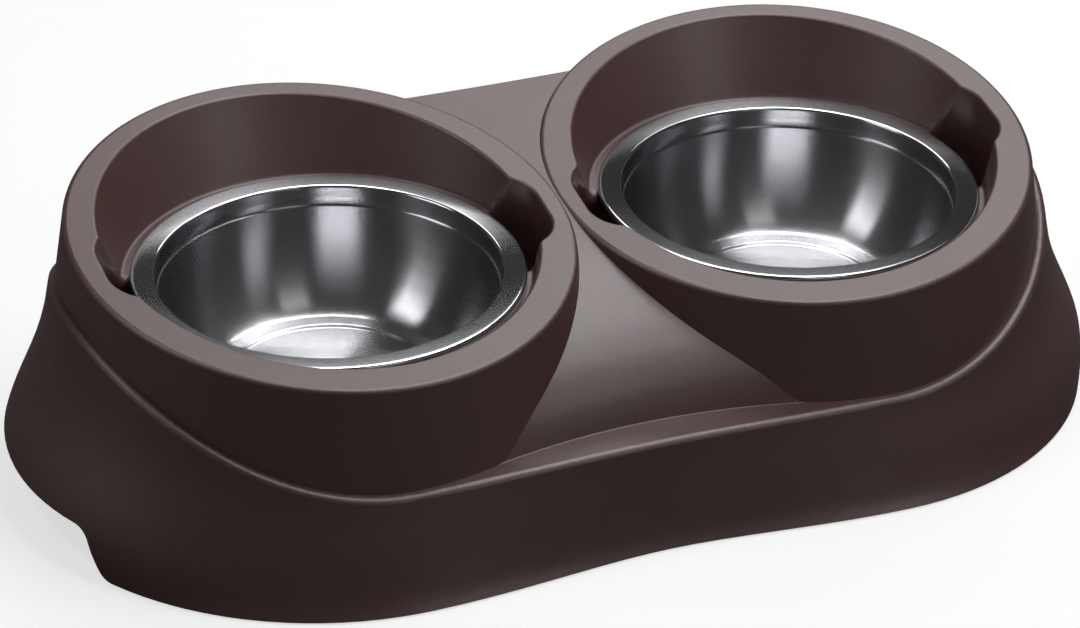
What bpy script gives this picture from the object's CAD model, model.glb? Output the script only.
"""Looks of the double pet bowl: moulded stand, two spun steel bowls and four rubber feet."""
from __future__ import annotations

import logging
import math
from dataclasses import dataclass
from enum import Enum

import bpy
from mathutils import Matrix, Vector


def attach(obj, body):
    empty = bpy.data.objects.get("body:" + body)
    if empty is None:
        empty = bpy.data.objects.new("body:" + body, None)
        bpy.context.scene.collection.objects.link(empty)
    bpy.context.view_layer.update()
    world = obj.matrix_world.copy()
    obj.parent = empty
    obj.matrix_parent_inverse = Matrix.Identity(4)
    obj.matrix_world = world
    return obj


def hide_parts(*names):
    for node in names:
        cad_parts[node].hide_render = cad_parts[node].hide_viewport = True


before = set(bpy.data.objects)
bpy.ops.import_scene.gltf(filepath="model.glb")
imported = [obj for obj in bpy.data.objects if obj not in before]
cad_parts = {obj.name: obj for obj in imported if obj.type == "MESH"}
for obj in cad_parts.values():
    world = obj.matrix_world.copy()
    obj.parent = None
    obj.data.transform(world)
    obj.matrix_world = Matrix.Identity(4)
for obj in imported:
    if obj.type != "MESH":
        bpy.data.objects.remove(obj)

logging.basicConfig(level=logging.INFO, format="%(message)s")
log = logging.getLogger("pet_bowl")

MM = 0.001
BOWL_SPREAD = 204.4
BOWL_FORWARD = 6.8

# Sockets of the Mix node, which share their names and so go by number.
MIX_VALUES = (2, 3)
MIX_COLOURS = (6, 7)
MIX_COLOUR_OUT = 2

Colour = tuple[float, float, float, float]
Span = tuple[float, float]
Point = tuple[float, float, float]
Socket = bpy.types.NodeSocket


class Side(Enum):
    """The two halves of the stand, with the sign of X on each."""

    LEFT = -1
    RIGHT = 1


class Reach(Enum):
    """What a lamp lights: the bowls alone, or everything but the bowls."""

    BOWLS = "INCLUDE"
    NOT_BOWLS = "EXCLUDE"


@dataclass(frozen=True)
class Ring:
    """One level of a turned profile: its radius and its height over the rim, in millimetres."""

    radius: float
    height: float


def arc_rings(centre: Ring, radius: float, start: float, sweep: float, steps: int) -> list[Ring]:
    """Rings along a circular arc of a profile.

    Args:
        centre: Middle of the arc.
        radius: Radius of the arc.
        start: Angle of the first ring, in degrees from the outward direction.
        sweep: Signed angle to the last ring, in degrees.
        steps: Number of stretches between rings.

    Returns:
        The rings in order.
    """
    angles = [math.radians(start + sweep * step / steps) for step in range(steps + 1)]
    return [
        Ring(centre.radius + radius * math.cos(a), centre.height + radius * math.sin(a))
        for a in angles
    ]


def curve_rings(points: tuple[Ring, Ring, Ring, Ring], steps: int) -> list[Ring]:
    """Rings along a cubic curve of a profile.

    Args:
        points: The curve's start, its two handles and its end.
        steps: Number of stretches between rings.

    Returns:
        The rings in order.
    """
    rings = []
    for step in range(steps + 1):
        t = step / steps
        weights = ((1 - t) ** 3, 3 * t * (1 - t) ** 2, 3 * t * t * (1 - t), t**3)
        radius = sum(w * p.radius for w, p in zip(weights, points))
        height = sum(w * p.height for w, p in zip(weights, points))
        rings.append(Ring(radius, height))
    return rings


def deselect() -> None:
    """Leave object mode with nothing selected."""
    if bpy.context.mode != "OBJECT":
        bpy.ops.object.mode_set(mode="OBJECT")
    bpy.ops.object.select_all(action="DESELECT")


def wear_material(piece: bpy.types.Object, material: bpy.types.Material) -> None:
    """Give a piece one material in place of all it has."""
    piece.data.materials.clear()
    piece.data.materials.append(material)


class Graph:
    """A node tree with short calls for adding and linking nodes."""

    def __init__(self, tree: bpy.types.NodeTree) -> None:
        """Start from an empty tree."""
        self.tree = tree
        tree.nodes.clear()

    def add(self, kind: str, inputs: dict | None = None, **settings: object) -> bpy.types.Node:
        """Add a node.

        Args:
            kind: Node type.
            inputs: Value or linked socket for each named or numbered input.
            settings: Properties of the node.

        Returns:
            The new node.
        """
        node = self.tree.nodes.new(kind)
        for name, value in settings.items():
            setattr(node, name, value)
        for name, value in (inputs or {}).items():
            if isinstance(value, Socket):
                self.tree.links.new(value, node.inputs[name])
            else:
                node.inputs[name].default_value = value
        return node

    def place(self) -> Socket:
        """Add the Object coordinate and return it."""
        return self.add("ShaderNodeTexCoord").outputs["Object"]

    def noise(
        self, place: Socket, scale: float, detail: float, roughness: float, **settings: object
    ) -> Socket:
        """Add a Noise Texture and return its value.

        Args:
            place: Coordinate of the texture.
            scale: Size of the texture, in grains to the metre.
            detail: Number of finer layers.
            roughness: Weight of the finer layers.
            settings: Properties of the node.

        Returns:
            The texture's value.
        """
        inputs = {"Vector": place, "Scale": scale, "Detail": detail, "Roughness": roughness}
        return self.add("ShaderNodeTexNoise", inputs, **settings).outputs[0]

    def math(self, operation: str, *values: object) -> Socket:
        """Add a Math node and return its result."""
        return self.add("ShaderNodeMath", dict(enumerate(values)), operation=operation).outputs[0]

    def ramp(self, value: Socket, low: float, high: float) -> Socket:
        """Fade from 0 to 1 as a value goes from low to high."""
        node = self.add(
            "ShaderNodeMapRange",
            {"Value": value, "From Min": low, "From Max": high},
            interpolation_type="SMOOTHSTEP",
        )
        return node.outputs["Result"]

    def between(self, share: Socket, low: float, high: float) -> Socket:
        """Turn a share of 0 to 1 into a value from low to high."""
        node = self.add("ShaderNodeMapRange", {"Value": share, "To Min": low, "To Max": high})
        return node.outputs["Result"]

    def blend(self, share: Socket, first: object, second: object) -> Socket:
        """Blend two values by a share."""
        low, high = MIX_VALUES
        return self.add("ShaderNodeMix", {0: share, low: first, high: second}).outputs[0]

    def mix(self, share: Socket, first: object, second: object) -> Socket:
        """Blend two colours by a share."""
        low, high = MIX_COLOURS
        inputs = {0: share, low: first, high: second}
        return self.add("ShaderNodeMix", inputs, data_type="RGBA").outputs[MIX_COLOUR_OUT]

    def bump(self, height: Socket, strength: float, distance: float) -> Socket:
        """Add a Bump node and return its normal."""
        inputs = {"Strength": strength, "Distance": distance, "Height": height}
        return self.add("ShaderNodeBump", inputs).outputs[0]

    def surface(self, shader: bpy.types.Node, kind: str = "ShaderNodeOutputMaterial") -> None:
        """Use a shader for the surface of the material or the world."""
        self.add(kind, {"Surface": shader.outputs[0]})


def new_group(name: str, outputs: tuple[str, ...]) -> tuple[bpy.types.NodeTree, Graph]:
    """Start a shader node group that gives out numbers.

    Args:
        name: Name of the group.
        outputs: Names of the numbers.

    Returns:
        The group and a graph to fill it with.
    """
    group = bpy.data.node_groups.new(name, "ShaderNodeTree")
    for label in outputs:
        group.interface.new_socket(label, in_out="OUTPUT", socket_type="NodeSocketFloat")
    return group, Graph(group)


def new_material(name: str) -> tuple[bpy.types.Material, Graph]:
    """Start a material.

    Args:
        name: Name of the material.

    Returns:
        The material and a graph to fill it with.
    """
    material = bpy.data.materials.new(name)
    material.use_nodes = True
    return material, Graph(material.node_tree)


@dataclass(frozen=True)
class MouldGrain:
    """Fine grain of a moulded face, as a shared node group."""

    fine_scale: float = 1500.0
    fine_detail: float = 3.0
    fine_roughness: float = 0.6
    pit_scale: float = 900.0
    pit_weight: float = 0.5
    slow_scale: float = 14.0
    slow_detail: float = 4.0
    slow_roughness: float = 0.55
    speckle: Span = (0.44, 0.66)
    mottle: Span = (0.32, 0.70)

    def group(self) -> bpy.types.NodeTree:
        """Build a height for the bump, a speckle mask and a slow mottling."""
        group, graph = new_group("mould_grain", ("Height", "Speckle", "Mottle"))
        place = graph.place()
        fine = graph.noise(place, self.fine_scale, self.fine_detail, self.fine_roughness)
        pits = graph.add("ShaderNodeTexVoronoi", {"Vector": place, "Scale": self.pit_scale})
        slow = graph.noise(place, self.slow_scale, self.slow_detail, self.slow_roughness)
        ends = {
            "Height": graph.math("MULTIPLY_ADD", pits.outputs["Distance"], self.pit_weight, fine),
            "Speckle": graph.ramp(fine, *self.speckle),
            "Mottle": graph.ramp(slow, *self.mottle),
        }
        graph.add("NodeGroupOutput", ends)
        return group


@dataclass(frozen=True)
class SpunLines:
    """Lines of a spun bowl round its own axis, as a shared node group."""

    line_scale: float = 2600.0
    line_detail: float = 2.0
    line_roughness: float = 0.7
    drift: float = 0.0004
    patch_scale: float = 240.0
    patch_detail: float = 4.0
    patch_roughness: float = 0.6
    patch: Span = (0.3, 0.72)

    def group(self) -> bpy.types.NodeTree:
        """Build the height of the lines, a patchy mask and the distance from the axis."""
        group, graph = new_group("spun_lines", ("Height", "Patches", "Reach"))
        place = graph.place()
        split = graph.add("ShaderNodeSeparateXYZ", {0: place})
        sideways = graph.math("ABSOLUTE", split.outputs[0])
        across = graph.math("SUBTRACT", sideways, BOWL_SPREAD / 2 * MM)
        along = graph.math("ADD", split.outputs[1], BOWL_FORWARD * MM)
        square = graph.math("POWER", along, 2.0)
        reach = graph.math("SQRT", graph.math("MULTIPLY_ADD", across, across, square))
        turn = graph.math("MULTIPLY", graph.math("ARCTAN2", along, across), self.drift)
        walk = graph.math("MULTIPLY_ADD", split.outputs[2], -1.0, reach)
        unrolled = graph.add("ShaderNodeCombineXYZ", {0: walk, 1: turn}).outputs[0]
        lines = graph.noise(
            unrolled,
            self.line_scale,
            self.line_detail,
            self.line_roughness,
            noise_dimensions="2D",
        )
        patches = graph.noise(place, self.patch_scale, self.patch_detail, self.patch_roughness)
        ends = {"Height": lines, "Patches": graph.ramp(patches, *self.patch), "Reach": reach}
        graph.add("NodeGroupOutput", ends)
        return group


@dataclass(frozen=True)
class MouldedPlastic:
    """Dark brown plastic with a fine matte grain."""

    deep: Colour = (0.056, 0.020, 0.019, 1.0)
    pale: Colour = (0.072, 0.028, 0.027, 1.0)
    smooth_roughness: float = 0.42
    grain_roughness: float = 0.52
    specular: float = 1.0
    speckle_weight: float = 0.6
    mottle_weight: float = 0.4
    bump: float = 0.12
    bump_depth: float = 0.0003

    def material(self) -> bpy.types.Material:
        """Build the material from the shared grain."""
        material, graph = new_material("moulded_plastic")
        grain = graph.add("ShaderNodeGroup", node_tree=MouldGrain().group()).outputs
        slow = graph.math("MULTIPLY", grain["Mottle"], self.mottle_weight)
        share = graph.math("MULTIPLY_ADD", grain["Speckle"], self.speckle_weight, slow)
        shader = graph.add(
            "ShaderNodeBsdfPrincipled",
            {
                "Base Color": graph.mix(share, self.deep, self.pale),
                "Roughness": graph.between(share, self.smooth_roughness, self.grain_roughness),
                "Specular IOR Level": self.specular,
                "Normal": graph.bump(grain["Height"], self.bump, self.bump_depth),
            },
        )
        graph.surface(shader)
        return material


@dataclass(frozen=True)
class SpunSteel:
    """Stainless steel spun to shape: satin inside, polished on the flange."""

    bright: Colour = (0.56, 0.56, 0.58, 1.0)
    dull: Colour = (0.47, 0.47, 0.49, 1.0)
    satin_roughness: float = 0.23
    satin_spread: float = 0.08
    polished_roughness: float = 0.12
    polished_from: Span = (69.8, 71.2)
    line_weight: float = 0.8
    patch_weight: float = 0.2
    anisotropy: float = 0.95
    across_lines: float = 0.25
    bump: float = 0.02
    bump_depth: float = 0.0001

    def material(self) -> bpy.types.Material:
        """Build the material from the shared spun lines."""
        material, graph = new_material("spun_steel")
        spun = graph.add("ShaderNodeGroup", node_tree=SpunLines().group()).outputs
        flange = graph.ramp(spun["Reach"], *(radius * MM for radius in self.polished_from))
        patches = graph.math("MULTIPLY", spun["Patches"], self.patch_weight)
        worn = graph.math("MULTIPLY_ADD", spun["Height"], self.line_weight, patches)
        smooth = self.satin_roughness * (1.0 - self.satin_spread)
        coarse = self.satin_roughness * (1.0 + self.satin_spread)
        satin = graph.between(worn, smooth, coarse)
        tangent = graph.add("ShaderNodeTangent", direction_type="RADIAL", axis="Z")
        shader = graph.add(
            "ShaderNodeBsdfPrincipled",
            {
                "Base Color": graph.mix(worn, self.dull, self.bright),
                "Metallic": 1.0,
                "Roughness": graph.blend(flange, satin, self.polished_roughness),
                "Anisotropic": self.anisotropy,
                "Anisotropic Rotation": self.across_lines,
                "Tangent": tangent.outputs[0],
                "Normal": graph.bump(spun["Height"], self.bump, self.bump_depth),
            },
        )
        graph.surface(shader)
        return material


@dataclass(frozen=True)
class FootRubber:
    """Soft black rubber with a dusty bloom."""

    black: Colour = (0.012, 0.012, 0.012, 1.0)
    dusty: Colour = (0.035, 0.033, 0.032, 1.0)
    dust_scale: float = 420.0
    dust_detail: float = 5.0
    dust_roughness: float = 0.5
    dust: Span = (0.4, 0.7)
    roughness: Span = (0.7, 0.9)
    bump: float = 0.2
    bump_depth: float = 0.0002

    def material(self) -> bpy.types.Material:
        """Build the material with dust in patches."""
        material, graph = new_material("foot_rubber")
        place = graph.place()
        dust = graph.noise(place, self.dust_scale, self.dust_detail, self.dust_roughness)
        shader = graph.add(
            "ShaderNodeBsdfPrincipled",
            {
                "Base Color": graph.mix(graph.ramp(dust, *self.dust), self.black, self.dusty),
                "Roughness": graph.between(dust, *self.roughness),
                "Normal": graph.bump(dust, self.bump, self.bump_depth),
            },
        )
        graph.surface(shader)
        return material


@dataclass
class SteelBowl:
    """A lift-out bowl of spun sheet: hemmed flange, short neck, round wall and a floor pad."""

    side: Side
    rim_height: float = 89.1
    rim_radius: float = 80.0
    neck_radius: float = 70.2
    sheet: float = 0.9
    hem_width: float = 2.4
    hem_drop: float = 3.6
    hem_round: float = 1.4
    hem_edge: float = 0.3
    hem_lip: float = 0.2
    hem_tuck: float = 0.1
    hem_steps: int = 9
    flange_fall: float = 0.30
    crease_share: float = 0.15
    throat_round: float = 1.3
    throat_steps: int = 8
    neck_depth: float = 8.6
    neck_step: float = 0.9
    neck_ease_in: float = 0.35
    neck_ease_down: float = 0.55
    depth: float = 51.6
    floor_radius: float = 49.0
    pad_radius: float = 42.5
    pad_middle: float = 0.5
    pad_drop: float = 1.1
    pad_slope: float = 1.1
    step_foot_in: float = 0.5
    step_foot_out: float = 0.1
    step_foot_rise: float = 0.12
    step_top_in: float = 0.4
    step_top_out: float = 0.3
    step_top_drop: float = 0.14
    upper_handle: float = 24.0
    lower_handle: float = 5.0
    lean: float = 0.06
    wall_steps: int = 22
    segments: int = 160
    smooth_angle: float = 50.0
    merge_gap: float = 1e-6

    def pad(self, floor: float) -> list[Ring]:
        """Rings of the sunk pad and the step round it, from the middle outward."""
        sunk = floor - self.pad_drop
        step_top = self.pad_radius + self.pad_slope
        return [
            Ring(self.pad_radius * self.pad_middle, sunk),
            Ring(self.pad_radius - self.step_foot_in, sunk),
            Ring(self.pad_radius + self.step_foot_out, sunk + self.step_foot_rise),
            Ring(step_top - self.step_top_in, floor - self.step_top_drop),
            Ring(step_top + self.step_top_out, floor),
        ]

    def skin(self, grow: float) -> list[Ring]:
        """Rings of one face of the sheet, from the floor pad up to the top of the throat.

        Args:
            grow: Distance outside the inner face.

        Returns:
            The rings in order, from the middle outward.
        """
        floor = -self.depth - grow
        neck = self.neck_radius + grow
        top = Ring(neck - self.neck_step, -self.neck_depth - self.neck_step)
        foot = Ring(self.floor_radius, floor)
        wall = (
            foot,
            Ring(foot.radius + self.lower_handle, foot.height),
            Ring(top.radius - self.lean * self.upper_handle, top.height - self.upper_handle),
            top,
        )
        throat = Ring(self.neck_radius + self.throat_round, -self.throat_round - self.flange_fall)
        ease = Ring(
            neck - self.neck_step * self.neck_ease_in,
            -self.neck_depth - self.neck_step * self.neck_ease_down,
        )
        return [
            *self.pad(floor),
            *curve_rings(wall, self.wall_steps),
            ease,
            Ring(neck, -self.neck_depth),
            Ring(neck, (-self.neck_depth - self.throat_round) / 2),
            *arc_rings(throat, self.throat_round - grow, 180, -90, self.throat_steps),
        ]

    def hem(self) -> list[Ring]:
        """Rings of the flange and its rolled hem, from the throat out and back underneath."""
        inner = self.rim_radius - self.hem_width
        roll = Ring(self.rim_radius - self.hem_round, -self.hem_round)
        under = -self.sheet - self.flange_fall
        return [
            Ring(inner, -self.flange_fall * self.crease_share),
            *arc_rings(roll, self.hem_round, 90, -90, self.hem_steps),
            Ring(self.rim_radius, -self.hem_drop + self.hem_edge),
            Ring(self.rim_radius - self.hem_edge, -self.hem_drop),
            Ring(inner + self.hem_lip, -self.hem_drop),
            Ring(inner, -self.hem_drop + self.hem_lip),
            Ring(inner, under - self.hem_tuck),
            Ring(inner - self.hem_tuck, under),
        ]

    def build(self) -> bpy.types.Object:
        """Turn the bowl up from a disc, ring by ring, and close it underneath."""
        rings = self.skin(0.0) + self.hem() + self.skin(self.sheet)[::-1]
        axis = Vector((self.side.value * BOWL_SPREAD / 2, -BOWL_FORWARD, self.rim_height)) * MM
        deselect()
        start = rings[0]
        bpy.ops.mesh.primitive_circle_add(
            vertices=self.segments,
            radius=start.radius * MM,
            fill_type="NGON",
            location=axis + Vector((0.0, 0.0, start.height * MM)),
        )
        piece = bpy.context.active_object
        piece.name = f"spun_bowl_{self.side.name.lower()}"
        bpy.ops.object.transform_apply(location=True, rotation=True, scale=True)
        bpy.ops.object.mode_set(mode="EDIT")
        bpy.ops.mesh.select_mode(type="EDGE")
        bpy.ops.mesh.select_all(action="SELECT")
        for last, ring in zip(rings, rings[1:]):
            rise = (ring.height - last.height) * MM
            growth = ring.radius / last.radius
            bpy.ops.mesh.extrude_edges_move(TRANSFORM_OT_translate={"value": (0.0, 0.0, rise)})
            bpy.ops.transform.resize(value=(growth, growth, 1.0), center_override=axis)
        bpy.ops.mesh.edge_face_add()
        bpy.ops.mesh.select_all(action="SELECT")
        bpy.ops.mesh.remove_doubles(threshold=self.merge_gap)
        bpy.ops.mesh.normals_make_consistent(inside=False)
        bpy.ops.object.mode_set(mode="OBJECT")
        bpy.ops.object.shade_smooth_by_angle(angle=math.radians(self.smooth_angle))
        return piece

    def dress(self, material: bpy.types.Material) -> bpy.types.Object:
        """Build the bowl, give it its steel and put it in place of the plain one."""
        piece = self.build()
        wear_material(piece, material)
        node = f"{self.side.name.lower()}_bowl"
        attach(piece, node)
        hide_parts(node)
        log.info("bowl %s: %d faces", piece.name, len(piece.data.polygons))
        return piece


@dataclass
class MouldedStand:
    """The one-piece stand with its turrets, wells, web and skirt."""

    node: str = "stand"

    def dress(self, material: bpy.types.Material) -> None:
        """Give the stand its plastic."""
        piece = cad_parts[self.node]
        wear_material(piece, material)
        log.info("stand %s: %d faces", piece.name, len(piece.data.polygons))


@dataclass
class RubberFeet:
    """The four press-in feet under the skirt."""

    names: tuple[str, ...] = (
        "foot_front_left",
        "foot_front_right",
        "foot_back_left",
        "foot_back_right",
    )

    def dress(self, material: bpy.types.Material) -> None:
        """Give each foot its rubber."""
        for name in self.names:
            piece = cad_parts[name]
            wear_material(piece, material)
            log.info("foot %s: %d faces", name, len(piece.data.polygons))


@dataclass
class Camera:
    """The photograph's viewpoint, as an orbit round a point on the object."""

    target: Point = (-9.858, -6.77, 48.671)
    azimuth: float = -22.636
    elevation: float = 30.061
    distance: float = 1652.85
    roll: float = 1.049
    lens: float = 132.556
    sensor: float = 36.0
    clip: Span = (0.05, 50.0)

    def place(self) -> bpy.types.Object:
        """Make the camera and use it for the scene."""
        a, e, r = (math.radians(v) for v in (self.azimuth, self.elevation, self.roll))
        back = Vector((math.sin(a) * math.cos(e), -math.cos(a) * math.cos(e), math.sin(e)))
        right = Vector((0.0, 0.0, 1.0)).cross(back).normalized()
        up = back.cross(right)
        turned_right = right * math.cos(r) + up * math.sin(r)
        turned_up = up * math.cos(r) - right * math.sin(r)
        data = bpy.data.cameras.new("photo_camera")
        data.sensor_width = self.sensor
        data.lens = self.lens
        data.clip_start, data.clip_end = self.clip
        camera = bpy.data.objects.new("photo_camera", data)
        bpy.context.scene.collection.objects.link(camera)
        turn = Matrix((turned_right, turned_up, back)).transposed().to_4x4()
        spot = (Vector(self.target) + back * self.distance) * MM
        camera.matrix_world = Matrix.Translation(spot) @ turn
        bpy.context.scene.camera = camera
        return camera


@dataclass(frozen=True)
class Softbox:
    """One rectangular studio lamp aimed at a point, in metres and watts."""

    name: str
    spot: Point
    size: Span
    power: float
    reach: Reach
    aim: Point = (0.0, 0.0, 0.06)

    def hang(self, bowls: list[bpy.types.Object]) -> bpy.types.Object:
        """Make the lamp, aim it and keep its light to what it is for, as a flag does.

        Args:
            bowls: The steel bowls.

        Returns:
            The lamp.
        """
        data = bpy.data.lights.new(self.name, "AREA")
        data.shape = "RECTANGLE"
        data.size, data.size_y = self.size
        data.energy = self.power
        lamp = bpy.data.objects.new(self.name, data)
        bpy.context.scene.collection.objects.link(lamp)
        lamp.location = self.spot
        toward = Vector(self.aim) - Vector(self.spot)
        lamp.rotation_mode = "QUATERNION"
        lamp.rotation_quaternion = toward.to_track_quat("-Z", "Y")
        flag = bpy.data.collections.new(f"{self.name}_flag")
        for bowl in bowls:
            flag.objects.link(bowl)
        for entry in flag.collection_objects:
            entry.light_linking.link_state = self.reach.value
        lamp.light_linking.receiver_collection = flag
        return lamp


@dataclass
class Studio:
    """Pale floor, plain backdrop, softboxes and the camera."""

    ambient: float = 0.09
    ceiling: float = 0.05
    horizon: float = 0.06
    floor_size: float = 12.0
    floor_grey: Colour = (0.04, 0.04, 0.04, 1.0)
    white: Colour = (1.0, 1.0, 1.0, 1.0)
    shadow_share: float = 0.35
    shine_share: float = 0.03
    lamps: tuple[Softbox, ...] = (
        Softbox("top_softbox", (0.36, 0.02, 1.18), (0.90, 0.60), 10.0, Reach.NOT_BOWLS),
        Softbox("back_softbox", (0.50, 0.86, 0.84), (0.90, 0.50), 4.3, Reach.NOT_BOWLS),
        Softbox("ramp_strip", (0.46, -0.84, 0.68), (0.22, 0.60), 1.4, Reach.NOT_BOWLS),
        Softbox("left_softbox", (-0.66, 0.06, 1.02), (0.30, 0.30), 1.9, Reach.NOT_BOWLS),
        Softbox("right_strip", (0.85, -0.45, 0.75), (0.15, 0.40), 0.4, Reach.NOT_BOWLS),
        Softbox("left_strip", (-1.05, 0.05, 0.55), (0.60, 0.60), 1.0, Reach.NOT_BOWLS),
        Softbox("bowl_softbox", (0.25, 0.45, 1.10), (0.70, 0.50), 13.0, Reach.BOWLS),
        Softbox("bowl_back_box", (0.34, 0.95, 0.98), (0.90, 0.35), 3.5, Reach.BOWLS),
        Softbox("bowl_front_box", (0.13, -0.75, 0.98), (0.40, 0.40), 0.4, Reach.BOWLS),
        Softbox("bowl_left_box", (-0.92, 0.08, 0.62), (0.45, 0.45), 1.9, Reach.BOWLS),
    )

    def floor_material(self) -> bpy.types.Material:
        """White with a soft shadow to the eye, faint in gloss and dark grey to bounced light."""
        material, graph = new_material("studio_floor")
        path = graph.add("ShaderNodeLightPath").outputs
        shine = graph.math("MULTIPLY", path["Is Glossy Ray"], self.shine_share)
        seen = graph.math("MAXIMUM", path["Is Camera Ray"], shine)
        colour = graph.mix(seen, self.floor_grey, self.white)
        lit = graph.add("ShaderNodeBsdfDiffuse", {"Color": colour})
        glow = graph.add("ShaderNodeEmission", {"Color": self.white, "Strength": 1.0})
        share = graph.math("MULTIPLY", seen, 1.0 - self.shadow_share)
        shaders = {0: share, 1: lit.outputs[0], 2: glow.outputs[0]}
        graph.surface(graph.add("ShaderNodeMixShader", shaders))
        return material

    def lay_floor(self) -> bpy.types.Object:
        """Lay the floor under the feet."""
        deselect()
        bpy.ops.mesh.primitive_plane_add(size=self.floor_size)
        floor = bpy.context.active_object
        floor.name = "studio_floor"
        wear_material(floor, self.floor_material())
        return floor

    def paint_backdrop(self) -> None:
        """White for what the camera sees, a white horizon under a dim ceiling for gloss."""
        world = bpy.data.worlds.new("studio")
        world.use_nodes = True
        graph = Graph(world.node_tree)
        path = graph.add("ShaderNodeLightPath").outputs
        seen = graph.math("MAXIMUM", path["Is Camera Ray"], path["Is Transmission Ray"])
        around = graph.add("ShaderNodeTexCoord").outputs["Generated"]
        way = graph.add("ShaderNodeSeparateXYZ", {0: around})
        shown = graph.between(graph.ramp(way.outputs[2], 0.0, self.horizon), 1.0, self.ceiling)
        unseen = graph.blend(path["Is Glossy Ray"], self.ambient, shown)
        strength = graph.blend(seen, unseen, 1.0)
        glow = graph.add("ShaderNodeBackground", {"Color": self.white, "Strength": strength})
        graph.surface(glow, "ShaderNodeOutputWorld")
        bpy.context.scene.world = world

    def set_up(self, bowls: list[bpy.types.Object]) -> None:
        """Light the scene and place the camera.

        Args:
            bowls: The steel bowls, which each lamp either lights alone or leaves out.
        """
        self.lay_floor()
        self.paint_backdrop()
        for lamp in self.lamps:
            lamp.hang(bowls)
        Camera().place()
        bpy.context.scene.view_settings.view_transform = "Standard"


def main() -> None:
    """Dress every piece and set up the studio."""
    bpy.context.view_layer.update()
    steel = SpunSteel().material()
    MouldedStand().dress(MouldedPlastic().material())
    bowls = [SteelBowl(side).dress(steel) for side in Side]
    RubberFeet().dress(FootRubber().material())
    Studio().set_up(bowls)


if __name__ == "__main__":
    main()
